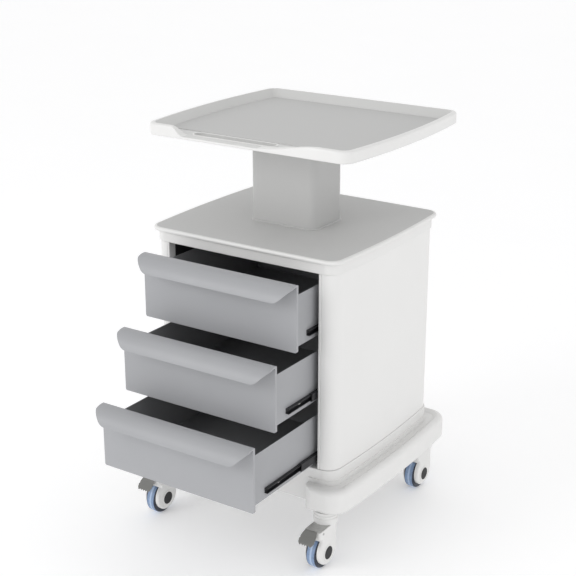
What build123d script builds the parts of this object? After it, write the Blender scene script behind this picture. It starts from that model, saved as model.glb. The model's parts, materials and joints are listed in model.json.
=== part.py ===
"""Medical crash cart: tray on a column, worktop, three-drawer cabinet and a base on four casters.

Frame: millimetres, +Z up, the drawers face -Y, +X is the cart's right.
Origin: on the floor, under the middle of the cabinet.
"""
import os
from math import acos, cos, degrees, radians, sin

from build123d import *

os.makedirs("parts", exist_ok=True)

# ---------------------------------------------------------------- driving dimensions
# plan shapes: (half width, half depth, side bow, front bow, corner radius)
BASE_PLAN = (278.0, 255.0, 10.0, 3.0, 46.0)
CABINET_PLAN = (239.0, 217.0, 9.0, 2.5, 32.0)
BAND_PLAN = (241.5, 219.5, 9.0, 2.5, 33.0)
WORKTOP_PLAN = (248.0, 229.0, 9.0, 2.5, 33.0)
TRAY_PLAN = (268.0, 241.5, 16.0, 0.0, 28.0)
TRAY_Y = 33.0                       # the tray sits this far behind the cabinet's middle

BASE_Z0 = 130.0                     # underside of the base
BASE_Z1 = 183.0                     # crest of its rounded shoulder
TROUGH_Z = 177.0                    # floor of the trough between shoulder and plinth
PLINTH_Z = 188.0
CABINET_Z = 211.0
BAND_Z = 651.0
NOSE_Z = 675.0
WORKTOP_Z = 684.0
TRAY_Z0 = 882.0
TRAY_FLOOR_Z = 888.0
TRAY_Z1 = 908.0

BASE_WALL = 5.0
FOOT_INNER_X = 172.0                # each front foot starts here
RECESS_Y = -217.0                   # front wall between the feet
FOOT_RADIUS = 34.0

PANEL_WALL = 4.0
OPENING_X = 192.5                   # half width of the drawer opening
STRIP_X = 198.4                     # outer edge of the narrow front strip
GAP = 0.6                           # seam between neighbouring covers
FAR = 500.0                         # past the cart's outside, for cutting
LINER_WALL = 2.0

COLUMN_X = 85.0
COLUMN_Y0 = -63.5
COLUMN_Y1 = 55.0
COLUMN_R = 20.0
COLUMN_WALL = 3.0
POST_SIZE = (80.0, 60.0)
POST_WALL = 3.0

DRAWER_COUNT = 3
FRONT_HALF_W = 194.5
FRONT_H = 144.4
FRONT_PITCH = 146.2
FRONT_TOP_Z = 650.4
FRONT_T = 6.0
CLOSED_Y = -225.0                   # front face of a closed drawer
DRAWER_OPEN = (75.0, 151.5, 229.0)  # how far each drawer stands open at rest
LIP_R = 40.0                        # the lip is a rolled sheet of this radius
LIP_T = 2.8
LIP_DROP = 32.7                     # the lip's free edge hangs this far below the front's top
LIP_CUT = 28.0                      # each end of the lip is cut back by this much at its free edge
LIP_CORNER_R = 30.0                 # and rounded where the cut meets the free edge
BOX_HALF_W = 179.8
BOX_WALL = 1.5
BOX_DEPTH = 395.0
BOX_TOP_DROP = 30.0                 # box walls end this far below the front's top
BOX_FLOOR_UP = 3.0

RAIL_UP = 22.5                      # slide centre above the front's lower edge
RAIL_T = 1.2
OUTER_RAIL = (183.0, 192.5, 11.0)   # inner x, outer x, half height
MID_RAIL = (182.4, 189.8, 8.4)
INNER_RAIL = (179.8, 187.6, 5.8)
OUTER_RAIL_Y = (-200.0, 196.0)
MID_RAIL_Y = (-158.0, 190.0)        # closed position
INNER_RAIL_Y = (-166.0, 186.0)      # closed position

WHEEL_R = 37.5
TREAD_HALF_W = 12.9
TREAD_DEPTH = 10.0
AXLE_R = 5.0
RUN_CLEARANCE = 0.06
WELL_HALF_W = 13.5                  # half width of the wheel well
HOUSING_X = (-15.5, 22.0)           # left and right face of the housing: the right cover is thick
COVER_R = 34.0
COVER_Z = 44.5                      # the covers are rounded about a point above the axle
TRAIL = 23.0                        # wheel axle ahead of the swivel axis
HEAD_R = 26.2
HEAD_Z = (97.0, 126.5)
STEM_R = 6.0
CASTER_X = 219.0
CASTER_Y = {"fl": -222.0, "fr": -222.0, "rl": 213.0, "rr": 213.0}
CAP_R = 14.5
PEDAL_PIVOT = (-43.0, 92.0)         # y from the swivel axis, and z
PEDAL_PIN_R = 2.5


# ---------------------------------------------------------------- shared shapes
def write(piece, name):
    """Label one finished piece and write its STEP file."""
    piece.part.label = name
    export_step(piece.part, f"parts/{name}.step")


def plan(shape, z, inset=0.0, centre_y=0.0):
    """Rounded rectangle with outward-bowed sides, on the level z."""
    half_w, half_d, bow_w, bow_d, radius = shape
    half_w -= inset
    half_d -= inset
    corner_x = half_w - bow_w
    corner_y = half_d - bow_d
    with BuildSketch(Plane.XY.offset(z)) as outline:
        with Locations((0, centre_y)):
            with BuildSketch(mode=Mode.PRIVATE) as face:
                with BuildLine():
                    ThreePointArc((corner_x, -corner_y), (half_w, 0), (corner_x, corner_y))
                    if bow_d:
                        ThreePointArc((corner_x, corner_y), (0, half_d), (-corner_x, corner_y))
                    else:
                        Line((corner_x, corner_y), (-corner_x, corner_y))
                    ThreePointArc((-corner_x, corner_y), (-half_w, 0), (-corner_x, -corner_y))
                    if bow_d:
                        ThreePointArc((-corner_x, -corner_y), (0, -half_d), (corner_x, -corner_y))
                    else:
                        Line((-corner_x, -corner_y), (corner_x, -corner_y))
                make_face()
                fillet(face.vertices(), max(radius - inset, 4.0))
            add(face.sketch)
    return outline.sketch


def caster_x(corner):
    """X of the swivel axis at a corner named fl, fr, rl or rr."""
    return CASTER_X if corner[1] == "r" else -CASTER_X


def slab(shape, z0, z1, inset=0.0, centre_y=0.0):
    """Private board with a bowed plan, from z0 to z1."""
    return extrude(plan(shape, z0, inset, centre_y), amount=z1 - z0, mode=Mode.PRIVATE)


def block(x0, x1, y0, y1, z0, z1):
    """Private box between two corners."""
    size = (x1 - x0, y1 - y0, z1 - z0)
    middle = ((x0 + x1) / 2, (y0 + y1) / 2, (z0 + z1) / 2)
    return Pos(*middle) * Box(*size, mode=Mode.PRIVATE)


def rod(x, y, z0, z1, radius):
    """Private upright cylinder."""
    return Pos(x, y, (z0 + z1) / 2) * Cylinder(radius, z1 - z0, mode=Mode.PRIVATE)


def cross_rod(x0, x1, y, z, radius):
    """Private cylinder along X."""
    bar = Cylinder(radius, x1 - x0, rotation=(0, 90, 0), mode=Mode.PRIVATE)
    return Pos((x0 + x1) / 2, y, z) * bar


# ---------------------------------------------------------------- top tray
RIM_TOP_INSET = 9.0                 # width of the rim's top
RIM_SLOPE = 13.0                    # the rim's inner face leans in by this much at the floor
LEFT_RAMP_X = (-190.0, -152.0)      # the front rim drops steeply to the ledge here
RIGHT_RAMP_X = (25.0, 200.0)        # and rises slowly to its full height here
SLOT = (-46.5, -169.0, 207.0, 24.0)  # pen groove: centre x, centre y, length, width
SLOT_DEPTH = 4.2
MAT_FRONT_Y = -149.0


def tray_notch():
    """Region above the front ledge, bounded by the two S-shaped ramps of the rim."""
    above = TRAY_Z1 + 20
    left_high = (LEFT_RAMP_X[0], TRAY_Z1 + 0.5)
    left_low = (LEFT_RAMP_X[1], TRAY_FLOOR_Z)
    right_low = (RIGHT_RAMP_X[0], TRAY_FLOOR_Z)
    right_high = (RIGHT_RAMP_X[1], TRAY_Z1 + 0.5)
    with BuildSketch(Plane.XZ.offset(170)) as notch:
        with BuildLine():
            Spline(left_high, left_low, tangents=((1, 0), (1, 0)))
            Line(left_low, right_low)
            Spline(right_low, right_high, tangents=((1, 0), (1, 0)))
            Polyline(right_high, (right_high[0], above), (left_high[0], above), left_high)
        make_face()
    return extrude(notch.sketch, amount=80, mode=Mode.PRIVATE)


with BuildPart() as tray_shell:
    extrude(plan(TRAY_PLAN, TRAY_Z0, 0.0, TRAY_Y), amount=TRAY_Z1 - TRAY_Z0)
    fillet(tray_shell.faces().sort_by(Axis.Z)[-1].outer_wire().edges(), 5.0)
    fillet(tray_shell.faces().sort_by(Axis.Z)[0].outer_wire().edges(), 2.5)
    basin_top = plan(TRAY_PLAN, TRAY_Z1, RIM_TOP_INSET, TRAY_Y)
    basin_floor = plan(TRAY_PLAN, TRAY_FLOOR_Z, RIM_TOP_INSET + RIM_SLOPE, TRAY_Y)
    loft([basin_floor, basin_top], mode=Mode.SUBTRACT)
    add(tray_notch(), mode=Mode.SUBTRACT)
    with BuildSketch(Plane.XY.offset(TRAY_FLOOR_Z)):
        with Locations((SLOT[0], SLOT[1])):
            SlotOverall(SLOT[2] + 8, SLOT[3] + 8)
    extrude(amount=1.2)
    with BuildSketch(Plane.XY.offset(TRAY_FLOOR_Z + 1.2)):
        with Locations((SLOT[0], SLOT[1])):
            SlotOverall(SLOT[2], SLOT[3])
    extrude(amount=-SLOT_DEPTH - 1.2, mode=Mode.SUBTRACT)
    with BuildSketch(Plane.XY.offset(TRAY_Z0)):
        with Locations((0, TRAY_Y + 40)):
            RectangleRounded(440, 330, 20)
    extrude(amount=2.0, mode=Mode.SUBTRACT)
write(tray_shell, "tray_shell")

with BuildPart() as tray_mat:
    mat_plan = plan(TRAY_PLAN, TRAY_FLOOR_Z, RIM_TOP_INSET + RIM_SLOPE + 2, TRAY_Y)
    extrude(mat_plan, amount=1.4)
    add(block(-300, 300, -300, MAT_FRONT_Y, TRAY_FLOOR_Z - 5, TRAY_FLOOR_Z + 5), mode=Mode.SUBTRACT)
write(tray_mat, "tray_mat")

# ---------------------------------------------------------------- column
COLUMN_MID_Y = (COLUMN_Y0 + COLUMN_Y1) / 2
COLUMN_DEPTH = COLUMN_Y1 - COLUMN_Y0
COLLAR_H = 3.0
COLLAR_GROW = 3.0
BRACKET_T = 4.0


def column_section(z, grow=0.0):
    """Rounded section of the column on the level z."""
    with BuildSketch(Plane.XY.offset(z)) as section:
        with Locations((0, COLUMN_MID_Y)):
            width = 2 * (COLUMN_X + grow)
            RectangleRounded(width, COLUMN_DEPTH + 2 * grow, COLUMN_R + grow)
    return section.sketch


with BuildPart() as column_cover:
    cover_height = TRAY_Z0 - WORKTOP_Z
    extrude(column_section(WORKTOP_Z), amount=cover_height)
    extrude(column_section(WORKTOP_Z, -COLUMN_WALL), amount=cover_height, mode=Mode.SUBTRACT)
write(column_cover, "column_cover")

with BuildPart() as column_collar:
    extrude(column_section(WORKTOP_Z, COLLAR_GROW), amount=COLLAR_H)
    extrude(column_section(WORKTOP_Z), amount=COLLAR_H, mode=Mode.SUBTRACT)
    chamfer(column_collar.faces().sort_by(Axis.Z)[-1].outer_wire().edges(), 1.5)
write(column_collar, "column_collar")

with BuildPart() as column_post:
    with BuildSketch(Plane.XY.offset(WORKTOP_Z)) as post_section:
        with Locations((0, COLUMN_MID_Y)):
            RectangleRounded(*POST_SIZE, 8)
            inner_size = [side - 2 * POST_WALL for side in POST_SIZE]
            RectangleRounded(*inner_size, 5, mode=Mode.SUBTRACT)
    extrude(amount=TRAY_Z0 - WORKTOP_Z - BRACKET_T)
write(column_post, "column_post")

with BuildPart() as tray_bracket:
    with BuildSketch(Plane.XY.offset(TRAY_Z0 - BRACKET_T)):
        with Locations((0, COLUMN_MID_Y)):
            RectangleRounded(150, 100, 8)
            with GridLocations(120, 70, 2, 2):
                Circle(3.2, mode=Mode.SUBTRACT)
    extrude(amount=BRACKET_T)
write(tray_bracket, "tray_bracket")

# ---------------------------------------------------------------- worktop
MAT_SINK = 0.8
MAT_INSET = 6.0
MAT_GAP = 0.3                       # the inlay stops this far from the collar


def mat_outline(z):
    """Outline of the worktop's inlay, cut out round the foot of the column."""
    return plan(WORKTOP_PLAN, z, MAT_INSET) - column_section(z, COLLAR_GROW + MAT_GAP)


with BuildPart() as worktop:
    extrude(plan(WORKTOP_PLAN, NOSE_Z), amount=WORKTOP_Z - NOSE_Z)
    fillet(worktop.faces().sort_by(Axis.Z)[-1].outer_wire().edges(), 4.0)
    fillet(worktop.faces().sort_by(Axis.Z)[0].outer_wire().edges(), 4.0)
    extrude(mat_outline(WORKTOP_Z), amount=-MAT_SINK, mode=Mode.SUBTRACT)
write(worktop, "worktop")

with BuildPart() as worktop_mat:
    extrude(mat_outline(WORKTOP_Z - MAT_SINK), amount=MAT_SINK)
write(worktop_mat, "worktop_mat")

with BuildPart() as top_board:
    extrude(plan(BAND_PLAN, BAND_Z), amount=NOSE_Z - BAND_Z)
    fillet(top_board.faces().sort_by(Axis.Z)[0].outer_wire().edges(), 2.0)
write(top_board, "top_board")

# ---------------------------------------------------------------- cabinet
PANEL_Z0 = CABINET_Z + GAP
PANEL_Z1 = BAND_Z - GAP
POST_DEPTH = 22.0
LINER_Y = (-194.0, 207.0)
BACK_Y = 211.5


def side_panel(side):
    """Half of the bowed cabinet shell; side is +1 for the right, -1 for the left."""
    shell = slab(CABINET_PLAN, PANEL_Z0, PANEL_Z1)
    hollow = slab(CABINET_PLAN, PANEL_Z0, PANEL_Z1, PANEL_WALL)
    x_limits = sorted((side * (STRIP_X + GAP), side * FAR))
    keep = block(*x_limits, -FAR, FAR, 0, 2 * FAR)
    return (shell - hollow) & keep


for side, name in ((1, "right"), (-1, "left")):
    with BuildPart() as panel:
        add(side_panel(side))
    write(panel, f"side_panel_{name}")

    with BuildPart() as front_post:
        x_limits = sorted((side * OPENING_X, side * STRIP_X))
        add(block(*x_limits, -CABINET_PLAN[1] + 1.0, -CABINET_PLAN[1] + POST_DEPTH, PANEL_Z0, PANEL_Z1))
        fillet(front_post.edges().filter_by(Axis.Z).group_by(Axis.Y)[0], 1.5)
    write(front_post, f"front_post_{name}")

    with BuildPart() as liner:
        x_limits = sorted((side * OPENING_X, side * (OPENING_X + LINER_WALL)))
        add(block(*x_limits, *LINER_Y, PANEL_Z0, PANEL_Z1))
    write(liner, f"liner_{name}")

BACK_SCREW_X = 180.0
BACK_SCREW_Z = (240.0, 431.0, 622.0)
SCREW_R = 2.0
SCREW_HEAD_R = 4.5

with BuildPart() as back_panel:
    add(block(-STRIP_X, STRIP_X, LINER_Y[1] + GAP, BACK_Y + 4, PANEL_Z0, PANEL_Z1))
    fillet(back_panel.edges().filter_by(Axis.Z).group_by(Axis.Y)[-1], 2.0)
    for screw_x in (-BACK_SCREW_X, BACK_SCREW_X):
        for screw_z in BACK_SCREW_Z:
            with BuildSketch(Plane.XZ.offset(-BACK_Y - 5)) as hole:
                with Locations((screw_x, screw_z)):
                    Circle(SCREW_R)
            extrude(hole.sketch, amount=20, mode=Mode.SUBTRACT)
write(back_panel, "back_panel")

SCREW_HEAD_T = 2.2


def bar_y(x, z, y0, y1, radius):
    """Private cylinder along Y."""
    bar = Cylinder(radius, y1 - y0, rotation=(90, 0, 0), mode=Mode.PRIVATE)
    return Pos(x, (y0 + y1) / 2, z) * bar


with BuildPart() as back_screws:
    back_face_y = BACK_Y + 4
    for screw_x in (-BACK_SCREW_X, BACK_SCREW_X):
        for screw_z in BACK_SCREW_Z:
            add(bar_y(screw_x, screw_z, LINER_Y[1] + GAP, back_face_y, SCREW_R))
            add(bar_y(screw_x, screw_z, back_face_y, back_face_y + SCREW_HEAD_T, SCREW_HEAD_R))
write(back_screws, "back_screws")

with BuildPart() as plinth:
    extrude(plan(BAND_PLAN, PLINTH_Z), amount=CABINET_Z - PLINTH_Z)
    fillet(plinth.faces().sort_by(Axis.Z)[-1].outer_wire().edges(), 2.0)
write(plinth, "plinth")

# ---------------------------------------------------------------- base
BOSS_R = 34.0
BASE_HOLLOW_Z = 170.0               # ceiling of the hollow underside
SHOULDER_ROUND = 11.0
TROUGH_INSET = (13.0, 22.0)         # outer edge of the trough at its top and at its floor
CAVITY_INSET = 19.0
STEM_SOCKET = 30.0


def base_outline(z, inset=0.0):
    """Plan of the base on the level z."""
    return plan(BASE_PLAN, z, inset)


def foot_recess():
    """Region between the two front feet, whose front corners are rounded."""
    front_y = -BASE_PLAN[1] + 1.7
    round_x = FOOT_INNER_X + FOOT_RADIUS
    with BuildSketch(Plane.XY.offset(BASE_Z0 - 20)) as recess:
        with BuildLine():
            Line((-FOOT_INNER_X, RECESS_Y), (FOOT_INNER_X, RECESS_Y))
            Line((FOOT_INNER_X, RECESS_Y), (FOOT_INNER_X, front_y + FOOT_RADIUS))
            CenterArc((round_x, front_y + FOOT_RADIUS), FOOT_RADIUS, 180, 90)
            Polyline((round_x, front_y), (round_x, -300), (-round_x, -300), (-round_x, front_y))
            CenterArc((-round_x, front_y + FOOT_RADIUS), FOOT_RADIUS, 270, 90)
            Line((-FOOT_INNER_X, front_y + FOOT_RADIUS), (-FOOT_INNER_X, RECESS_Y))
        make_face()
    return extrude(recess.sketch, amount=100, mode=Mode.PRIVATE)


with BuildPart() as base_shell:
    extrude(base_outline(BASE_Z0), amount=BASE_Z1 - BASE_Z0)
    fillet(base_shell.faces().sort_by(Axis.Z)[-1].outer_wire().edges(), SHOULDER_ROUND)
    fillet(base_shell.faces().sort_by(Axis.Z)[0].outer_wire().edges(), 6.0)
    trough_top, trough_floor = TROUGH_INSET
    loft(
        [base_outline(TROUGH_Z, trough_floor), base_outline(BASE_Z1, trough_top)],
        mode=Mode.SUBTRACT,
    )
    add(slab(BAND_PLAN, TROUGH_Z - 1, PLINTH_Z, -2.0))
    add(foot_recess(), mode=Mode.SUBTRACT)
    # hollow underside
    inside = slab(BASE_PLAN, BASE_Z0, BASE_HOLLOW_Z, CAVITY_INSET)
    apron_x = FOOT_INNER_X + BASE_WALL
    apron = block(-apron_x, apron_x, -FAR, RECESS_Y + BASE_WALL, 0, FAR)
    add(inside - apron, mode=Mode.SUBTRACT)
    for corner, corner_y in CASTER_Y.items():
        corner_x = caster_x(corner)
        boss = rod(corner_x, corner_y, BASE_Z0, BASE_HOLLOW_Z, BOSS_R)
        boss &= slab(BASE_PLAN, BASE_Z0, BASE_HOLLOW_Z, 8)
        add(boss)
        add(rod(corner_x, corner_y, BASE_Z0 - 1, BASE_Z0 + STEM_SOCKET, STEM_R), mode=Mode.SUBTRACT)
write(base_shell, "base_shell")

FRAME_TUBE = (30.0, 22.0, 2.0)      # width, height, wall of the steel tube
FRAME_X = 150.0
FRAME_Y = (-150.0, 150.0)
FRAME_HALF_LENGTH = 205.0
FRAME_TOP_Z = BASE_HOLLOW_Z

with BuildPart() as base_frame:
    tube_w, tube_h, tube_wall = FRAME_TUBE
    tube_z = FRAME_TOP_Z - tube_h / 2
    for tube_x in (-FRAME_X, FRAME_X):
        with BuildSketch(Plane.XZ.offset(-FRAME_HALF_LENGTH)) as tube:
            with Locations((tube_x, tube_z)):
                RectangleRounded(tube_w, tube_h, 3)
                RectangleRounded(tube_w - 2 * tube_wall, tube_h - 2 * tube_wall, 1.5, mode=Mode.SUBTRACT)
        extrude(tube.sketch, amount=2 * FRAME_HALF_LENGTH)
    for tube_y in FRAME_Y:
        with BuildSketch(Plane.YZ.offset(-FRAME_X + tube_w / 2)) as tube:
            with Locations((tube_y, tube_z)):
                RectangleRounded(tube_w, tube_h, 3)
                RectangleRounded(tube_w - 2 * tube_wall, tube_h - 2 * tube_wall, 1.5, mode=Mode.SUBTRACT)
        extrude(tube.sketch, amount=2 * FRAME_X - tube_w)
write(base_frame, "base_frame")

with BuildPart() as caster_stems:
    for corner, corner_y in CASTER_Y.items():
        corner_x = caster_x(corner)
        add(rod(corner_x, corner_y, HEAD_Z[0] + 6, BASE_Z0 + STEM_SOCKET, STEM_R))
        add(rod(corner_x, corner_y, HEAD_Z[1] + 0.6, BASE_Z0, HEAD_R - 6))
write(caster_stems, "caster_stems")

# ---------------------------------------------------------------- casters
FORK_TOP_Z = 98.6
FRONT_WALL_Y = -55.4                # front of the housing, from the swivel axis
BROW_Z = 81.0                       # lower edge of that front wall
BROW_ANGLE = 61.0                   # where the brow runs into the rounded cover
BROW_BLEND = 5.0
WHEEL_GAP_R = WHEEL_R + 3.0
GROOVE_Z = (119.5, 112.5)
GROOVE = (1.6, 1.2)                 # height, depth
HUB_RING = (14.9, 18.0, 1.0)        # inner radius, outer radius, height
CAP_T = 1.6
CAP_ROUND = 0.9
HEAD_ROUND = 2.0
COVER_ROUND = 4.0
DECK_Z = (FORK_TOP_Z, 100.4)        # steel plate on top of the braked housings
DECK_Y = (-56.4, -14.0)
PEDAL_BACK_Y = -57.2                # back edge of the pad, from the swivel axis
PEDAL_TOP_Z = 100.2
ARM_HALF_W = 14.5
ARM_T = 2.2
EAR_X = (8.8, 11.0)
EAR_Z = (87.5, 96.5)
EAR_BACK = 4.5                      # ears reach this far behind the pivot
SLOT_HALF_W = 11.6
SLOT_Y = (-58.0, -36.0)
SLOT_FLOOR_Z = 83.6
PAD_HALF_W = 19.2
PAD_LENGTH = 26.5
PAD_FALL = 21.0
PAD_T = 2.8
PAD_CORNER_R = 3.5
PAD_TEETH = 4
TOOTH_R = 2.5
TOOTH_PITCH = 6.2


def housing_profile(x, y):
    """Side outline of the wheel housing: a rounded cover with a brow over the wheel's front."""
    axle_y = y - TRAIL
    brow_end_y = axle_y - COVER_R * cos(radians(BROW_ANGLE))
    brow_end_z = COVER_Z + COVER_R * sin(radians(BROW_ANGLE))
    with BuildSketch(Plane.YZ.offset(x + HOUSING_X[0])) as profile:
        with Locations((axle_y, COVER_Z)):
            Circle(COVER_R)
        with BuildLine():
            Polyline(
                (axle_y + COVER_R, COVER_Z),
                (axle_y + COVER_R, FORK_TOP_Z),
                (y + FRONT_WALL_Y, FORK_TOP_Z),
                (y + FRONT_WALL_Y, BROW_Z),
                (brow_end_y, brow_end_z),
                close=True,
            )
        make_face()
        brow_corner = profile.vertices().sort_by_distance((brow_end_y, brow_end_z))[0]
        fillet(brow_corner, BROW_BLEND)
    return profile.sketch


def caster_housing(x, y, braked):
    """Swivel head and wheel housing of one caster, with a slot for the pedal on braked ones."""
    axle_y = y - TRAIL
    left_x = x + HOUSING_X[0]
    right_x = x + HOUSING_X[1]
    with BuildPart() as housing:
        extrude(housing_profile(x, y), amount=right_x - left_x)
        right_edges = housing.faces().sort_by(Axis.X)[-1].edges()
        fillet([edge for edge in right_edges if edge.center().Z < FORK_TOP_Z - 1], COVER_ROUND)
        add(rod(x, y, *HEAD_Z, HEAD_R))
        fillet(housing.faces().sort_by(Axis.Z)[-1].edges(), HEAD_ROUND)
        groove_h, groove_depth = GROOVE
        for groove_z in GROOVE_Z:
            around = rod(x, y, groove_z, groove_z + groove_h, HEAD_R + 1)
            add(around - rod(x, y, groove_z, groove_z + groove_h, HEAD_R - groove_depth), mode=Mode.SUBTRACT)
        add(cross_rod(x - WELL_HALF_W, x + WELL_HALF_W, axle_y, WHEEL_R, WHEEL_GAP_R), mode=Mode.SUBTRACT)
        ring_inner, ring_outer, ring_h = HUB_RING
        for ring_x in ((left_x - ring_h, left_x + 1), (right_x - 1, right_x + ring_h)):
            ring = cross_rod(*ring_x, axle_y, WHEEL_R, ring_outer)
            add(ring - cross_rod(*ring_x, axle_y, WHEEL_R, ring_inner))
        add(cross_rod(left_x - 2, right_x + 2, axle_y, WHEEL_R, AXLE_R), mode=Mode.SUBTRACT)
        add(rod(x, y, HEAD_Z[0] + 5, HEAD_Z[1] + 1, STEM_R + RUN_CLEARANCE), mode=Mode.SUBTRACT)
        if braked:
            slot_y = (y + SLOT_Y[0], y + SLOT_Y[1])
            slot = block(x - SLOT_HALF_W, x + SLOT_HALF_W, *slot_y, SLOT_FLOOR_Z, FORK_TOP_Z + 1)
            add(slot - rod(x, y, SLOT_FLOOR_Z, FORK_TOP_Z + 2, HEAD_R), mode=Mode.SUBTRACT)
            pin_bore_r = PEDAL_PIN_R + RUN_CLEARANCE
            pin_bore = cross_rod(left_x - 5, right_x + 5, y + PEDAL_PIVOT[0], PEDAL_PIVOT[1], pin_bore_r)
            add(pin_bore, mode=Mode.SUBTRACT)
    return housing


def caster_deck(x, y):
    """Flat steel plate on the housing, cut round the swivel head."""
    with BuildPart() as deck:
        add(block(x + HOUSING_X[0], x + HOUSING_X[1], y + DECK_Y[0], y + DECK_Y[1], *DECK_Z))
        add(rod(x, y, DECK_Z[0] - 1, DECK_Z[1] + 1, HEAD_R), mode=Mode.SUBTRACT)
    return deck


def wheel_ring(x, y, inner_r, outer_r, half_w, shoulder):
    """Wheel ring about an axle along X."""
    with BuildPart() as ring:
        with BuildSketch(Plane(origin=(x, y, WHEEL_R), x_dir=(1, 0, 0), z_dir=(0, -1, 0))) as section:
            with Locations((0, (inner_r + outer_r) / 2)):
                Rectangle(2 * half_w, outer_r - inner_r)
            fillet(section.vertices().group_by(Axis.Z)[-1], shoulder)
        revolve(section.sketch, Axis((x, y, WHEEL_R), (1, 0, 0)))
    return ring


def pad_slope(x, y):
    """Sloping plate that the foot pad is cut from."""
    back_y = y + PEDAL_BACK_Y
    tip_y = back_y - PAD_LENGTH
    tip_z = PEDAL_TOP_Z - PAD_FALL
    with BuildSketch(Plane.YZ.offset(x - PAD_HALF_W - 5)) as strip:
        with BuildLine():
            Polyline(
                (back_y, PEDAL_TOP_Z),
                (tip_y, tip_z),
                (tip_y, tip_z - PAD_T),
                (back_y, PEDAL_TOP_Z - PAD_T),
                close=True,
            )
        make_face()
    return extrude(strip.sketch, amount=2 * PAD_HALF_W + 10, mode=Mode.PRIVATE)


def pedal_arm(x, y):
    """Sheet-steel arm of the brake pedal: two ears on a cross plate, and the pivot pin."""
    pivot_y = y + PEDAL_PIVOT[0]
    back_y = y + PEDAL_BACK_Y
    with BuildPart() as arm:
        add(block(x - ARM_HALF_W, x + ARM_HALF_W, back_y - ARM_T, back_y, EAR_Z[0], PEDAL_TOP_Z - PAD_T))
        add(pad_slope(x, y), mode=Mode.SUBTRACT)
        for side in (-1, 1):
            ear_x = sorted((x + side * EAR_X[0], x + side * EAR_X[1]))
            add(block(*ear_x, back_y - ARM_T / 2, pivot_y + EAR_BACK, *EAR_Z))
        add(cross_rod(x + HOUSING_X[0], x + HOUSING_X[1] + 0.4, pivot_y, PEDAL_PIVOT[1], PEDAL_PIN_R))
    return arm


def pedal_pad(x, y):
    """Foot pad of the brake pedal: a sloping plate with teeth round its edge."""
    back_y = y + PEDAL_BACK_Y
    tip_y = back_y - PAD_LENGTH
    half = (
        (ARM_HALF_W, 0.0),
        (PAD_HALF_W - 1.0, -10.0),
        (PAD_HALF_W, -21.0),
        (PAD_HALF_W - 5.0, -PAD_LENGTH),
    )
    with BuildPart() as pad:
        add(pad_slope(x, y))
        with BuildSketch(Plane.XY.offset(PEDAL_TOP_Z - PAD_FALL - 20)) as outline:
            with BuildLine():
                right = [(x + across, back_y + along) for across, along in half]
                left = [(x - across, back_y + along) for across, along in reversed(half)]
                Polyline(*right, *left, close=True)
            make_face()
            fillet(outline.vertices().group_by(Axis.Y)[0], PAD_CORNER_R)
            for tooth in range(PAD_TEETH):
                tooth_y = back_y - 3.0 - tooth * TOOTH_PITCH
                for side in (-1, 1):
                    with Locations((x + side * (PAD_HALF_W + 0.8), tooth_y)):
                        Circle(TOOTH_R, mode=Mode.SUBTRACT)
                tooth_x = x + (tooth - (PAD_TEETH - 1) / 2) * TOOTH_PITCH
                with Locations((tooth_x, tip_y - 0.8)):
                    Circle(TOOTH_R, mode=Mode.SUBTRACT)
        extrude(outline.sketch, amount=60, mode=Mode.INTERSECT)
    return pad


for corner, corner_y in CASTER_Y.items():
    corner_x = caster_x(corner)
    axle_y = corner_y - TRAIL
    braked = corner[0] == "f"
    left_x = corner_x + HOUSING_X[0]
    right_x = corner_x + HOUSING_X[1]
    write(caster_housing(corner_x, corner_y, braked), f"caster_{corner}_housing")
    rim_r = WHEEL_R - TREAD_DEPTH
    tyre = wheel_ring(corner_x, axle_y, rim_r, WHEEL_R, TREAD_HALF_W, 5.0)
    write(tyre, f"caster_{corner}_tyre")
    core = wheel_ring(corner_x, axle_y, AXLE_R + RUN_CLEARANCE, rim_r, TREAD_HALF_W - 0.6, 1.0)
    write(core, f"caster_{corner}_core")

    with BuildPart() as axle:
        add(cross_rod(left_x, right_x, axle_y, WHEEL_R, AXLE_R))
    write(axle, f"caster_{corner}_axle")

    with BuildPart() as caps:
        add(cross_rod(left_x - CAP_T, left_x, axle_y, WHEEL_R, CAP_R))
        add(cross_rod(right_x, right_x + CAP_T, axle_y, WHEEL_R, CAP_R))
        cap_faces = caps.faces().filter_by(Axis.X).group_by(Axis.X)
        fillet(cap_faces[0].edges() + cap_faces[-1].edges(), CAP_ROUND)
    write(caps, f"caster_{corner}_caps")

    if braked:
        write(caster_deck(corner_x, corner_y), f"caster_{corner}_deck")
        write(pedal_arm(corner_x, corner_y), f"caster_{corner}_pedal_arm")
        write(pedal_pad(corner_x, corner_y), f"caster_{corner}_pedal_pad")

# ---------------------------------------------------------------- drawers
def rail(side, section, y_range, z, lip_inward):
    """One C-shaped slide member along Y; the channel opens towards the drawer, or away from it."""
    x_near, x_far, half_h = section
    web = (x_near, x_near + RAIL_T) if lip_inward else (x_far - RAIL_T, x_far)
    web_x = sorted((side * web[0], side * web[1]))
    flange_x = sorted((side * x_near, side * x_far))
    member = block(*web_x, *y_range, z - half_h, z + half_h)
    member += block(*flange_x, *y_range, z + half_h - RAIL_T, z + half_h)
    member += block(*flange_x, *y_range, z - half_h, z - half_h + RAIL_T)
    return member


def shifted(y_range, by):
    """A Y range moved towards the front."""
    return (y_range[0] - by, y_range[1] - by)


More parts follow.
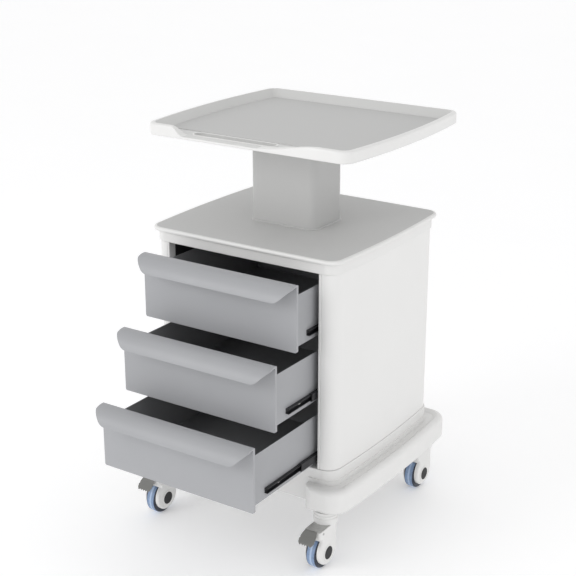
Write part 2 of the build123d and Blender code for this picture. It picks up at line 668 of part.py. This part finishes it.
def drawer_front(front_y, top_z):
    """Flat front plate with the rolled lip along its top edge."""
    bottom_z = top_z - FRONT_H
    roll_centre = (front_y, top_z - LIP_R)
    roll_angle = degrees(acos((LIP_R - LIP_DROP) / LIP_R))
    with BuildPart() as front:
        plate = block(-FRONT_HALF_W, FRONT_HALF_W, front_y, front_y + FRONT_T, bottom_z, top_z)
        add(plate)
        back_edge = front.edges().filter_by(Axis.X).group_by(Axis.Z)[-1].sort_by(Axis.Y)[-1]
        fillet(back_edge, 2.5)
        fillet(front.edges().filter_by(Axis.Y).group_by(Axis.Z)[0], 4.0)
        with BuildSketch(Plane.YZ.offset(-FRONT_HALF_W)) as roll:
            with BuildLine():
                outer = CenterArc(roll_centre, LIP_R, 90, roll_angle)
                inner = CenterArc(roll_centre, LIP_R - LIP_T, 90, roll_angle)
                Line(outer @ 0, inner @ 0)
                Line(outer @ 1, inner @ 1)
            make_face()
            fillet(roll.vertices().group_by(Axis.Y)[0] + roll.vertices().group_by(Axis.Y)[1], LIP_T * 0.4)
        extrude(roll.sketch, amount=2 * FRONT_HALF_W)
        free_z = top_z - LIP_DROP - 0.3
        for side in (-1, 1):
            edge_x = side * FRONT_HALF_W
            slant_top = (edge_x + side * 2, free_z + LIP_CUT + 2)
            cut_corner = (edge_x - side * LIP_CUT, free_z)
            cut_end = (edge_x - side * (LIP_CUT + 20), free_z)
            with BuildSketch(Plane.XZ.offset(-front_y)) as end_cut:
                with BuildLine():
                    FilletPolyline(slant_top, cut_corner, cut_end, radius=LIP_CORNER_R)
                    Polyline(cut_end, (cut_end[0], free_z - 10), (slant_top[0], free_z - 10), slant_top)
                make_face()
            extrude(end_cut.sketch, amount=LIP_R + 10, mode=Mode.SUBTRACT)
    return front


def drawer_box(front_y, top_z):
    """Folded steel tray of one drawer."""
    floor_z = top_z - FRONT_H + BOX_FLOOR_UP
    rim_z = top_z - BOX_TOP_DROP
    y0 = front_y + FRONT_T
    y1 = y0 + BOX_DEPTH
    inner_x = BOX_HALF_W - BOX_WALL
    with BuildPart() as box:
        add(block(-BOX_HALF_W, BOX_HALF_W, y0, y1, floor_z, rim_z))
        inside = block(-inner_x, inner_x, y0 + BOX_WALL, y1 - BOX_WALL, floor_z + BOX_WALL, rim_z + 1)
        add(inside, mode=Mode.SUBTRACT)
    return box


def rail_pair(section, y_range, z, lip_inward):
    """The right and left member of one drawer's slides."""
    with BuildPart() as pair:
        for side in (-1, 1):
            add(rail(side, section, y_range, z, lip_inward))
    return pair


outer_members = []
for number in range(DRAWER_COUNT):
    top_z = FRONT_TOP_Z - number * FRONT_PITCH
    opened = DRAWER_OPEN[number]
    front_y = CLOSED_Y - opened
    rail_z = top_z - FRONT_H + RAIL_UP
    name = f"drawer_{number + 1}"
    write(drawer_front(front_y, top_z), f"{name}_front")
    write(drawer_box(front_y, top_z), f"{name}_box")
    write(rail_pair(INNER_RAIL, shifted(INNER_RAIL_Y, opened), rail_z, True), f"{name}_inner_rails")
    write(rail_pair(MID_RAIL, shifted(MID_RAIL_Y, opened / 2), rail_z, False), f"{name}_mid_rails")
    outer_members += rail_pair(OUTER_RAIL, OUTER_RAIL_Y, rail_z, False).part.solids()

with BuildPart() as outer_rails:
    add(outer_members)
write(outer_rails, "outer_rails")
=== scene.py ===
"""Looks of the crash cart: materials, small fasteners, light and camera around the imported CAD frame."""

import json
import math

import bmesh
import bpy
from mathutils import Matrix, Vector


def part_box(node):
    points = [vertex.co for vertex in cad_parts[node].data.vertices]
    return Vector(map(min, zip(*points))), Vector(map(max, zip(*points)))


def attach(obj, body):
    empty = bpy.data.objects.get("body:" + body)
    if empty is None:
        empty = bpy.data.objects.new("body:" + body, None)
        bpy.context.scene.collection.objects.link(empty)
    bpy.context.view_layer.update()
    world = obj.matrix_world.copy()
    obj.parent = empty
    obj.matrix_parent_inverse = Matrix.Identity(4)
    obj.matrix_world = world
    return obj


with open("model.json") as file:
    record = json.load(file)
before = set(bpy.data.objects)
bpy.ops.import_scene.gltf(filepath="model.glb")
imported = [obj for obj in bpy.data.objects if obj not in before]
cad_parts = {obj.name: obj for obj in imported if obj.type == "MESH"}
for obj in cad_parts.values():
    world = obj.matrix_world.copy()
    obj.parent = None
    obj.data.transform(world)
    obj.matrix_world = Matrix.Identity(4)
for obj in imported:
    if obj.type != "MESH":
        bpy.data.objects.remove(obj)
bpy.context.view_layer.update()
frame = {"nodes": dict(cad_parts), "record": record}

MM = 0.001

# light
SKY_HORIZON = 1.14
SKY_ZENITH = 0.7
FLOOR_GLOW = 0.21
FLOOR_HALF_SIZE = 20.0
KEY_PLACE = (-1.8, -3.4, 2.2)
KEY_TARGET = (0, 0, 0.4)
KEY_SIZE = 1.6
KEY_POWER = 26.0
FILL_PLACE = (3.4, -1.4, 1.8)
FILL_TARGET = (0, 0, 0.5)
FILL_SIZE = 2.4
FILL_POWER = 4.0

# camera: angles in degrees, lengths in metres, lens and sensor in mm
CAMERA_AZIMUTH = 33.56
CAMERA_ELEVATION = 19.5
CAMERA_DISTANCE = 3.052
CAMERA_TARGET = (-0.0805, 0.0834, 0.479)
CAMERA_SENSOR = 36.0
CAMERA_LENS = 80.9
CAMERA_CLIP = (0.05, 60.0)

# noise values that count as fully low and fully high, and the curvature that counts as an edge
NOISE_LOW, NOISE_HIGH = 0.3, 0.7
EDGE_LOW, EDGE_HIGH = 0.52, 0.62

# colours
WHITE = (0.78, 0.777, 0.768)
GREY_INLAY = (0.56, 0.56, 0.555)
COLUMN_GREY = (0.49, 0.49, 0.485)
DRAWER_GREY = (0.365, 0.37, 0.385)
# painted shade inside the drawer boxes
DRAWER_INSIDE_SHADE_GREY = (0.31, 0.314, 0.326)
# painted shade on the tray's inner walls
TRAY_WALL_SHADE_GREY = (0.63, 0.63, 0.622)
TRAY_LEDGE_GREY = (0.66, 0.66, 0.652)
# painted shade in the tray's pen groove
GROOVE_SHADE_GREY = (0.62, 0.62, 0.612)
FRAME_BLACK = (0.022, 0.022, 0.024)
CAP_BLACK = (0.016, 0.0165, 0.018)
SLIDE_BLACK = (0.016, 0.016, 0.018)
SLIDE_RUBBED = (0.055, 0.055, 0.06)
ZINC = (0.62, 0.62, 0.61)
CORE_BLUE = (0.40, 0.46, 0.56)
PEDAL_STEEL = (0.56, 0.56, 0.55)
PEDAL_DARK = (0.165, 0.165, 0.158)
TREAD_BLUE = (0.22, 0.31, 0.48)
# painted shade along the tread's edges and a painted highlight round its middle
TREAD_EDGE_SHADE = (0.018, 0.024, 0.04)
TREAD_HIGHLIGHT = (0.50, 0.62, 0.80)
FLOOR_WHITE = (0.90, 0.90, 0.905)
FLOOR_TONES = ((0.895, 0.895, 0.90), (0.905, 0.905, 0.91))

# tread: painted shade along its two edges and a painted highlight round its middle, both measured across
# from the middle of the wheel
CASTER_X = 219.0 * MM
TREAD_SHADE_FROM = 8.2 * MM
TREAD_SHADE_FULL = 10.4 * MM
HIGHLIGHT_FULL = 0.6 * MM
HIGHLIGHT_END = 3.8 * MM
HIGHLIGHT_STRENGTH = 0.75

# drawer box and tray, for painting shade on their inner faces and grey on the tray's ledge
BOX_WALL = 2.0 * MM
TRAY_DEPTH = 20.0 * MM
TRAY_FRONT_RIM = 22.5 * MM
TRAY_LIP = 6.0 * MM
TRAY_LEDGE_END = 80.0 * MM

# edges: a bevel's width
WELD_DISTANCE = 0.00001
FRONT_EDGE = 0.7 * MM
BOX_EDGE = 0.4 * MM
BASE_EDGE = 1.5 * MM
TRIM_EDGE = 0.5 * MM

# fasteners
FASTENER_SLOT = "zinc_steel"
SCREW_SIDES = 24
SCREW_PROFILE = ((1.0, 0.0), (1.0, 0.35), (0.95, 0.6), (0.82, 0.84), (0.62, 0.97), (0.52, 1.0))
SOCKET_REACH = 0.46
SOCKET_TOP = 0.97
SOCKET_BOTTOM = 0.4
RAIL_SCREW_R = 3.3 * MM
RAIL_SCREW_H = 2.2 * MM
RAIL_SCREW_INSET = 6.6 * MM
RAIL_SCREW_BACK = (47.0, 170.0, 300.0)
RIVET_R = 3.0 * MM
RIVET_H = 1.0 * MM
PIVOT_Z = 92.0 * MM
PIVOT_TO_EAR_BACK = 4.5 * MM


# ---------------------------------------------------------------- node helpers
class Shader:
    """A material with one Principled shader, and short ways to add nodes to it."""

    def __init__(self, name, color, roughness, metallic=0.0, specular=0.5):
        self.material = bpy.data.materials.new(name)
        self.material.use_nodes = True
        self.tree = self.material.node_tree
        self.bsdf = self.tree.nodes["Principled BSDF"]
        self.bsdf.inputs["Base Color"].default_value = (*color, 1.0)
        self.bsdf.inputs["Roughness"].default_value = roughness
        self.bsdf.inputs["Metallic"].default_value = metallic
        self.bsdf.inputs["Specular IOR Level"].default_value = specular
        self.height = None
        coordinates = self.tree.nodes.new("ShaderNodeTexCoord")
        self.place = coordinates.outputs["Object"]

    def node(self, kind, **settings):
        made = self.tree.nodes.new(kind)
        for key, value in settings.items():
            setattr(made, key, value)
        return made

    def link(self, source, target):
        self.tree.links.new(source, target)

    def math(self, operation, first, second=None):
        made = self.node("ShaderNodeMath", operation=operation)
        for socket, value in zip(made.inputs, (first, second)):
            if value is None:
                continue
            if isinstance(value, (int, float)):
                socket.default_value = value
            else:
                self.link(value, socket)
        return made.outputs[0]

    def noise(self, scale, detail=3.0, rough=0.55, stretch=None):
        """Noise in object coordinates; scale is in cells per metre."""
        made = self.node("ShaderNodeTexNoise")
        made.inputs["Scale"].default_value = scale
        made.inputs["Detail"].default_value = detail
        made.inputs["Roughness"].default_value = rough
        if stretch:
            mapping = self.node("ShaderNodeMapping")
            mapping.inputs["Scale"].default_value = stretch
            self.link(self.place, mapping.inputs["Vector"])
            self.link(mapping.outputs[0], made.inputs["Vector"])
        else:
            self.link(self.place, made.inputs["Vector"])
        return made.outputs["Fac"]

    def spread(self, value, low, high):
        """Maps the usual run of a noise to low-high."""
        made = self.node("ShaderNodeMapRange")
        made.inputs["From Min"].default_value = NOISE_LOW
        made.inputs["From Max"].default_value = NOISE_HIGH
        made.inputs["To Min"].default_value = low
        made.inputs["To Max"].default_value = high
        self.link(value, made.inputs["Value"])
        return made.outputs[0]

    def mix(self, factor, first, second):
        """Blends two colours; the Mix node's colour sockets are inputs 6 and 7 and output 2."""
        made = self.node("ShaderNodeMix", data_type="RGBA")
        self.link(factor, made.inputs[0])
        for socket, value in ((made.inputs[6], first), (made.inputs[7], second)):
            if isinstance(value, tuple):
                socket.default_value = (*value, 1.0)
            else:
                self.link(value, socket)
        return made.outputs[2]

    def set_color(self, value):
        self.link(value, self.bsdf.inputs["Base Color"])

    def set_roughness(self, value):
        self.link(value, self.bsdf.inputs["Roughness"])

    def bump(self, height, strength, distance):
        """Adds a bump layer on top of those already there."""
        made = self.node("ShaderNodeBump")
        made.inputs["Strength"].default_value = strength
        made.inputs["Distance"].default_value = distance
        self.link(height, made.inputs["Height"])
        if self.height is not None:
            self.link(self.height, made.inputs["Normal"])
        self.height = made.outputs[0]
        self.link(self.height, self.bsdf.inputs["Normal"])

    def edge_highlight_mask(self):
        """0 on flat stretches, 1 on outer edges."""
        geometry = self.node("ShaderNodeNewGeometry")
        made = self.node("ShaderNodeMapRange")
        made.inputs["From Min"].default_value = EDGE_LOW
        made.inputs["From Max"].default_value = EDGE_HIGH
        self.link(geometry.outputs["Pointiness"], made.inputs["Value"])
        return made.outputs[0]


def shade(color, factor):
    """A colour made lighter or darker."""
    return tuple(min(channel * factor, 1.0) for channel in color)


# ---------------------------------------------------------------- materials
def moulded_plastic(name, color, roughness, grain=1400.0, edge_light=1.04):
    """Moulded ABS or nylon: faint cloudiness, fine spark-eroded grain, and a painted highlight that
    lightens the outer edges.
    """
    made = Shader(name, color, roughness)
    clouds = made.noise(6.0, detail=4.0)
    speckle = made.noise(900.0, detail=1.0)
    tone = made.mix(made.spread(clouds, 0.0, 1.0), shade(color, 0.97), shade(color, 1.015))
    tone = made.mix(made.spread(speckle, 0.0, 0.25), tone, shade(color, 0.97))
    # painted highlight: the outer edges are lightened by edge_light
    tone = made.mix(made.math("MULTIPLY", made.edge_highlight_mask(), 0.5), tone, shade(color, edge_light))
    made.set_color(tone)
    scuffs = made.noise(35.0, detail=6.0, rough=0.7)
    made.set_roughness(made.spread(scuffs, roughness - 0.05, roughness + 0.07))
    made.bump(made.noise(3.0, detail=2.0), 0.15, 0.0015)
    made.bump(made.noise(grain, detail=2.0), 0.22, 0.05 * MM)
    return made.material


def inlay_sheet(name, color):
    """Grey non-slip sheet: fine leather-like grain and a few lighter rubbed patches."""
    made = Shader(name, color, 0.58, specular=0.35)
    cells = made.node("ShaderNodeTexVoronoi", feature="F1")
    cells.inputs["Scale"].default_value = 620.0
    made.link(made.place, cells.inputs["Vector"])
    rubbed = made.noise(9.0, detail=5.0, rough=0.62)
    grain = made.noise(1500.0, detail=1.0)
    tone = made.mix(made.spread(rubbed, 0.0, 1.0), shade(color, 0.975), shade(color, 1.03))
    tone = made.mix(made.spread(grain, 0.0, 0.5), tone, shade(color, 0.9))
    made.set_color(tone)
    made.set_roughness(made.spread(rubbed, 0.5, 0.66))
    made.bump(cells.outputs["Distance"], 0.3, 0.12 * MM)
    made.bump(grain, 0.2, 0.05 * MM)
    return made.material


def powder_coat(name, color, roughness):
    """Powder-coated sheet steel: orange peel, faint tone drift, and a painted highlight that lightens the
    outer edges.
    """
    made = Shader(name, color, roughness)
    drift = made.noise(4.0, detail=3.0)
    flecks = made.noise(2200.0, detail=1.0)
    tone = made.mix(made.spread(drift, 0.0, 1.0), shade(color, 0.97), shade(color, 1.03))
    tone = made.mix(made.spread(flecks, 0.0, 0.3), tone, shade(color, 1.12))
    # painted highlight: the outer edges are lightened by a fifth
    tone = made.mix(made.math("MULTIPLY", made.edge_highlight_mask(), 0.6), tone, shade(color, 1.2))
    made.set_color(tone)
    handling = made.noise(22.0, detail=6.0, rough=0.7)
    made.set_roughness(made.spread(handling, roughness - 0.06, roughness + 0.08))
    made.bump(made.noise(420.0, detail=2.0), 0.2, 0.08 * MM)
    return made.material


def brushed_steel(name, color, roughness, stretch):
    """Zinc-plated or stamped steel with fine drawn lines along one direction."""
    made = Shader(name, color, roughness, metallic=1.0)
    lines = made.noise(1200.0, detail=3.0, stretch=stretch)
    stains = made.noise(60.0, detail=4.0)
    tone = made.mix(made.spread(stains, 0.0, 1.0), shade(color, 0.85), shade(color, 1.1))
    made.set_color(tone)
    made.set_roughness(made.spread(lines, roughness - 0.08, roughness + 0.12))
    made.bump(lines, 0.25, 0.04 * MM)
    return made.material


def caster_tread(name, center_x):
    """Soft blue-grey tread, with painted shade along its two edges and a painted highlight round its
    middle.
    """
    made = Shader(name, TREAD_BLUE, 0.32)
    made.bsdf.inputs["Subsurface Weight"].default_value = 0.12
    made.bsdf.inputs["Subsurface Radius"].default_value = (0.004, 0.005, 0.008)
    made.bsdf.inputs["Subsurface Scale"].default_value = 0.6
    split = made.node("ShaderNodeSeparateXYZ")
    made.link(made.place, split.inputs[0])
    from_middle = made.math("SUBTRACT", made.math("ABSOLUTE", split.outputs["X"]), center_x)
    across = made.math("ABSOLUTE", from_middle)
    edge_shade = made.node("ShaderNodeMapRange", interpolation_type="SMOOTHSTEP")
    edge_shade.inputs["From Min"].default_value = TREAD_SHADE_FROM
    edge_shade.inputs["From Max"].default_value = TREAD_SHADE_FULL
    made.link(across, edge_shade.inputs["Value"])
    crown_highlight = made.node("ShaderNodeMapRange", interpolation_type="SMOOTHSTEP")
    crown_highlight.inputs["From Min"].default_value = HIGHLIGHT_FULL
    crown_highlight.inputs["From Max"].default_value = HIGHLIGHT_END
    crown_highlight.inputs["To Min"].default_value = HIGHLIGHT_STRENGTH
    crown_highlight.inputs["To Max"].default_value = 0.0
    made.link(across, crown_highlight.inputs["Value"])
    dust = made.noise(160.0, detail=5.0, rough=0.65)
    tone = made.mix(made.spread(dust, 0.0, 1.0), shade(TREAD_BLUE, 0.82), shade(TREAD_BLUE, 1.18))
    # painted highlight round the tread's middle, then painted shade along its two edges
    tone = made.mix(crown_highlight.outputs[0], tone, TREAD_HIGHLIGHT)
    tone = made.mix(edge_shade.outputs[0], tone, TREAD_EDGE_SHADE)
    made.set_color(tone)
    made.set_roughness(made.spread(dust, 0.24, 0.45))
    made.bump(dust, 0.3, 0.12 * MM)
    return made.material


def slide_black(name):
    """Blackened slide steel with rubbed running tracks along its length."""
    made = Shader(name, SLIDE_BLACK, 0.36, metallic=0.6)
    tracks = made.noise(700.0, detail=2.0, stretch=(1.0, 0.02, 1.0))
    made.set_color(made.mix(made.spread(tracks, 0.0, 1.0), SLIDE_BLACK, SLIDE_RUBBED))
    made.set_roughness(made.spread(made.noise(90.0, detail=4.0), 0.28, 0.46))
    made.bump(tracks, 0.2, 0.04 * MM)
    return made.material


LOOKS = {
    "white_abs": moulded_plastic("white_abs", WHITE, 0.36),
    "grey_inlay": inlay_sheet("grey_inlay", GREY_INLAY),
    "column_grey": moulded_plastic("column_grey", COLUMN_GREY, 0.42),
    "frame_steel": powder_coat("frame_steel", FRAME_BLACK, 0.5),
    "zinc_steel": brushed_steel("zinc_steel", ZINC, 0.32, (1.0, 1.0, 0.05)),
    "slide_steel": slide_black("slide_steel"),
    "drawer_grey": powder_coat("drawer_grey", DRAWER_GREY, 0.42),
    "drawer_box_grey": powder_coat("drawer_box_grey", shade(DRAWER_GREY, 0.9), 0.46),
    "caster_white": moulded_plastic("caster_white", WHITE, 0.33, grain=2200.0),
    "caster_cap": moulded_plastic("caster_cap", CAP_BLACK, 0.6, grain=2600.0, edge_light=1.5),
    "tread_blue": caster_tread("tread_blue", CASTER_X),
    "wheel_core": moulded_plastic("wheel_core", CORE_BLUE, 0.35, grain=2200.0),
    "pedal_steel": brushed_steel("pedal_steel", PEDAL_STEEL, 0.42, (0.05, 1.0, 1.0)),
    "pedal_dark": moulded_plastic("pedal_dark", PEDAL_DARK, 0.5, grain=2600.0, edge_light=1.5),
}
# a slightly darker grey that stands in for the shade inside the drawer boxes
BOX_INSIDE_SHADE = powder_coat("drawer_box_inside_shade", DRAWER_INSIDE_SHADE_GREY, 0.5)
# greys that stand in for the shade on the tray's inner walls and in its pen groove
TRAY_INSIDE_SHADE = moulded_plastic("tray_inside_shade", TRAY_WALL_SHADE_GREY, 0.45, grain=1800.0)
TRAY_LEDGE = moulded_plastic("tray_ledge", TRAY_LEDGE_GREY, 0.4, grain=1800.0)
PEN_GROOVE_SHADE = moulded_plastic("pen_groove_shade", GROOVE_SHADE_GREY, 0.45, grain=1800.0)


def paint_frame():
    """Gives each CAD node the material of its record slot."""
    for subpart in frame["record"]["subparts"]:
        node = frame["nodes"][subpart["node"]]
        node.data.materials.clear()
        node.data.materials.append(LOOKS[subpart["material_slot"]])


def paint_box_inside_shade(name):
    """Painted shade inside the drawer box: faces that look at its middle get a darker grey."""
    node = frame["nodes"][name]
    node.data.materials.append(BOX_INSIDE_SHADE)
    low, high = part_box(name)
    middle = (low + high) / 2
    margin = BOX_WALL / 4
    for face in node.data.polygons:
        center = face.center
        inward = face.normal.dot(middle - center) > 0
        inner = all(low[axis] + margin < center[axis] < high[axis] - margin for axis in (0, 1))
        if inward and inner and center.z > low.z + margin:
            face.material_index = 1


def paint_tray_inside():
    """Painted shade on the tray's inner walls and in its pen groove; its floor and front ledge get a
    light grey, its rim stays white.
    """
    node = frame["nodes"]["tray_shell"]
    for look in (TRAY_INSIDE_SHADE, TRAY_LEDGE, PEN_GROOVE_SHADE):
        node.data.materials.append(look)
    low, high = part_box("tray_shell")
    middle = (low + high) / 2
    floor_z = high.z - TRAY_DEPTH
    front_rim_y = low.y + TRAY_FRONT_RIM
    lip_y = low.y + TRAY_LIP
    ledge_y = low.y + TRAY_LEDGE_END
    for face in node.data.polygons:
        center, normal = face.center, face.normal
        toward = Vector((middle.x - center.x, middle.y - center.y, 0)).normalized()
        leans_in = Vector((normal.x, normal.y, 0)).dot(toward) > 0.25
        behind_rim = center.y > front_rim_y or normal.y > 0.6
        above_floor = floor_z + 0.5 * MM < center.z < high.z - 0.5 * MM
        below_floor = low.z + 0.5 * MM < center.z < floor_z - 0.3 * MM
        in_ledge = normal.z > -0.1 and lip_y < center.y < ledge_y
        # painted shade on the inward-leaning walls
        if above_floor and leans_in and behind_rim:
            face.material_index = 1
        elif abs(center.z - floor_z) < 0.2 * MM and normal.z > 0.9:
            face.material_index = 2
        # painted shade in the pen groove
        elif below_floor and in_ledge:
            face.material_index = 3


# ---------------------------------------------------------------- edges
def soften(name, width, angle=35.0, segments=2):
    """Rounds the sharp edges of a CAD node a little, as moulding or coating does."""
    node = frame["nodes"][name]
    weld = node.modifiers.new("weld", "WELD")
    weld.merge_threshold = WELD_DISTANCE
    bevel = node.modifiers.new("bevel", "BEVEL")
    bevel.width = width
    bevel.segments = segments
    bevel.limit_method = "ANGLE"
    bevel.angle_limit = math.radians(angle)
    even = node.modifiers.new("even", "WEIGHTED_NORMAL")
    even.mode = "FACE_AREA"
    even.keep_sharp = False


# ---------------------------------------------------------------- fasteners
def ring_of(mesh, center, across, up, radius):
    """A ring of vertices about a centre."""
    made = []
    for step in range(SCREW_SIDES):
        angle = 2 * math.pi * step / SCREW_SIDES
        shifted = center + across * (radius * math.cos(angle))
        made.append(mesh.verts.new(shifted + up * (radius * math.sin(angle))))
    return made


def bridge(mesh, first, second):
    """Quads between two rings of the same length."""
    count = len(first)
    for step in range(count):
        after = (step + 1) % count
        mesh.faces.new((first[step], first[after], second[after], second[step]))


def screw_head(name, center, axis, radius, height, body, slot):
    """Domed screw head with a hexagonal socket, standing at center and facing along axis."""
    axis = Vector(axis).normalized()
    across = axis.orthogonal().normalized()
    up = axis.cross(across)
    center = Vector(center)
    mesh = bmesh.new()
    rings = []
    for reach, rise in SCREW_PROFILE:
        rings.append(ring_of(mesh, center + axis * (height * rise), across, up, radius * reach))
    for first, second in zip(rings, rings[1:]):
        bridge(mesh, first, second)
    socket = []
    for step in range(SCREW_SIDES):
        angle = 2 * math.pi * step / SCREW_SIDES
        facet = math.cos(math.pi / 6) / math.cos((angle % (math.pi / 3)) - math.pi / 6)
        reach = radius * SOCKET_REACH * facet
        offset = across * (reach * math.cos(angle)) + up * (reach * math.sin(angle))
        socket.append(offset)
    mouth = [mesh.verts.new(center + axis * (height * SOCKET_TOP) + offset) for offset in socket]
    bottom = [mesh.verts.new(center + axis * (height * SOCKET_BOTTOM) + offset) for offset in socket]
    bridge(mesh, rings[-1], mouth)
    bridge(mesh, mouth, bottom)
    mesh.faces.new(bottom)
    mesh.faces.new(list(reversed(rings[0])))
    bmesh.ops.recalc_face_normals(mesh, faces=mesh.faces)
    data = bpy.data.meshes.new(name)
    mesh.to_mesh(data)
    mesh.free()
    piece = bpy.data.objects.new(name, data)
    bpy.context.scene.collection.objects.link(piece)
    data.materials.append(LOOKS[slot])
    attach(piece, body)


def slide_screws():
    """Bright screws that hold the inner slide members to each drawer box."""
    for number in (1, 2, 3):
        low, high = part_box(f"drawer_{number}_inner_rails")
        middle_z = (low.z + high.z) / 2
        for side, face_x in ((-1, low.x), (1, high.x)):
            surface_x = face_x - side * RAIL_SCREW_INSET
            side_name = "right" if side > 0 else "left"
            for index, back in enumerate(RAIL_SCREW_BACK):
                place = (surface_x, low.y + back * MM, middle_z)
                name = f"slide_screw_{number}_{side_name}_{index}"
                body = f"drawer_{number}"
                screw_head(name, place, (side, 0, 0), RAIL_SCREW_R, RAIL_SCREW_H, body, FASTENER_SLOT)


def caster_rivets():
    """Rivet heads on both ends of each brake pedal's pivot pin."""
    for corner in ("fl", "fr"):
        arm_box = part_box(f"caster_{corner}_pedal_arm")
        axle_low, axle_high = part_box(f"caster_{corner}_axle")
        pivot_y = arm_box[1].y - PIVOT_TO_EAR_BACK
        for side, face_x in ((-1, axle_low.x), (1, axle_high.x)):
            place = (face_x, pivot_y, PIVOT_Z)
            name = f"pivot_rivet_{corner}_{'right' if side > 0 else 'left'}"
            body = f"pedal_{corner}"
            screw_head(name, place, (side, 0, 0), RIVET_R, RIVET_H, body, FASTENER_SLOT)


# ---------------------------------------------------------------- stage, light and camera
def floor():
    """Pale seamless floor that glows a little, so it stays white up to the contact shadows."""
    mesh = bmesh.new()
    bmesh.ops.create_grid(mesh, x_segments=8, y_segments=8, size=FLOOR_HALF_SIZE)
    data = bpy.data.meshes.new("floor")
    mesh.to_mesh(data)
    mesh.free()
    made = bpy.data.objects.new("floor", data)
    bpy.context.scene.collection.objects.link(made)
    look = Shader("floor_white", FLOOR_WHITE, 0.7, specular=0.1)
    look.set_color(look.mix(look.spread(look.noise(2.0), 0.0, 1.0), *FLOOR_TONES))
    look.bsdf.inputs["Emission Color"].default_value = (1.0, 1.0, 1.0, 1.0)
    look.bsdf.inputs["Emission Strength"].default_value = FLOOR_GLOW
    data.materials.append(look.material)


def area_light(name, place, target, size, power):
    """Large square softbox aimed at a point."""
    data = bpy.data.lights.new(name, "AREA")
    data.shape = "SQUARE"
    data.size = size
    data.energy = power
    made = bpy.data.objects.new(name, data)
    bpy.context.scene.collection.objects.link(made)
    made.location = place
    made.rotation_mode = "QUATERNION"
    made.rotation_quaternion = (Vector(place) - Vector(target)).to_track_quat("Z", "Y")


def lights():
    """White surround, brighter near the horizon than overhead, with weak soft boxes at the front."""
    world = bpy.data.worlds.new("studio")
    bpy.context.scene.world = world
    world.use_nodes = True
    tree = world.node_tree
    background = tree.nodes["Background"]
    direction = tree.nodes.new("ShaderNodeTexCoord")
    split = tree.nodes.new("ShaderNodeSeparateXYZ")
    height = tree.nodes.new("ShaderNodeMapRange")
    height.inputs["From Min"].default_value = 0.0
    height.inputs["From Max"].default_value = 1.0
    height.inputs["To Min"].default_value = SKY_HORIZON
    height.inputs["To Max"].default_value = SKY_ZENITH
    tree.links.new(direction.outputs["Generated"], split.inputs[0])
    tree.links.new(split.outputs["Z"], height.inputs["Value"])
    tree.links.new(height.outputs[0], background.inputs["Strength"])
    background.inputs["Color"].default_value = (1.0, 1.0, 1.0, 1.0)
    area_light("key_left", KEY_PLACE, KEY_TARGET, KEY_SIZE, KEY_POWER)
    area_light("fill_right", FILL_PLACE, FILL_TARGET, FILL_SIZE, FILL_POWER)


def camera():
    """Camera at the front right, looking down a little."""
    turn = math.radians(CAMERA_AZIMUTH)
    rise = math.radians(CAMERA_ELEVATION)
    back = Vector((math.sin(turn) * math.cos(rise), -math.cos(turn) * math.cos(rise), math.sin(rise)))
    data = bpy.data.cameras.new("camera")
    data.sensor_width = CAMERA_SENSOR
    data.lens = CAMERA_LENS
    data.clip_start, data.clip_end = CAMERA_CLIP
    made = bpy.data.objects.new("camera", data)
    bpy.context.scene.collection.objects.link(made)
    made.location = Vector(CAMERA_TARGET) + back * CAMERA_DISTANCE
    made.rotation_mode = "QUATERNION"
    made.rotation_quaternion = back.to_track_quat("Z", "Y")
    bpy.context.scene.camera = made


# ---------------------------------------------------------------- the scene
camera()
paint_frame()
for drawer in (1, 2, 3):
    paint_box_inside_shade(f"drawer_{drawer}_box")
paint_tray_inside()
for drawer in (1, 2, 3):
    soften(f"drawer_{drawer}_front", FRONT_EDGE)
    soften(f"drawer_{drawer}_box", BOX_EDGE)
soften("base_shell", BASE_EDGE, angle=25.0, segments=3)
for trim in ("top_board", "plinth", "front_post_left", "front_post_right", "column_collar"):
    soften(trim, TRIM_EDGE)
slide_screws()
caster_rivets()
floor()
lights()
bpy.context.scene.view_settings.view_transform = "Standard"
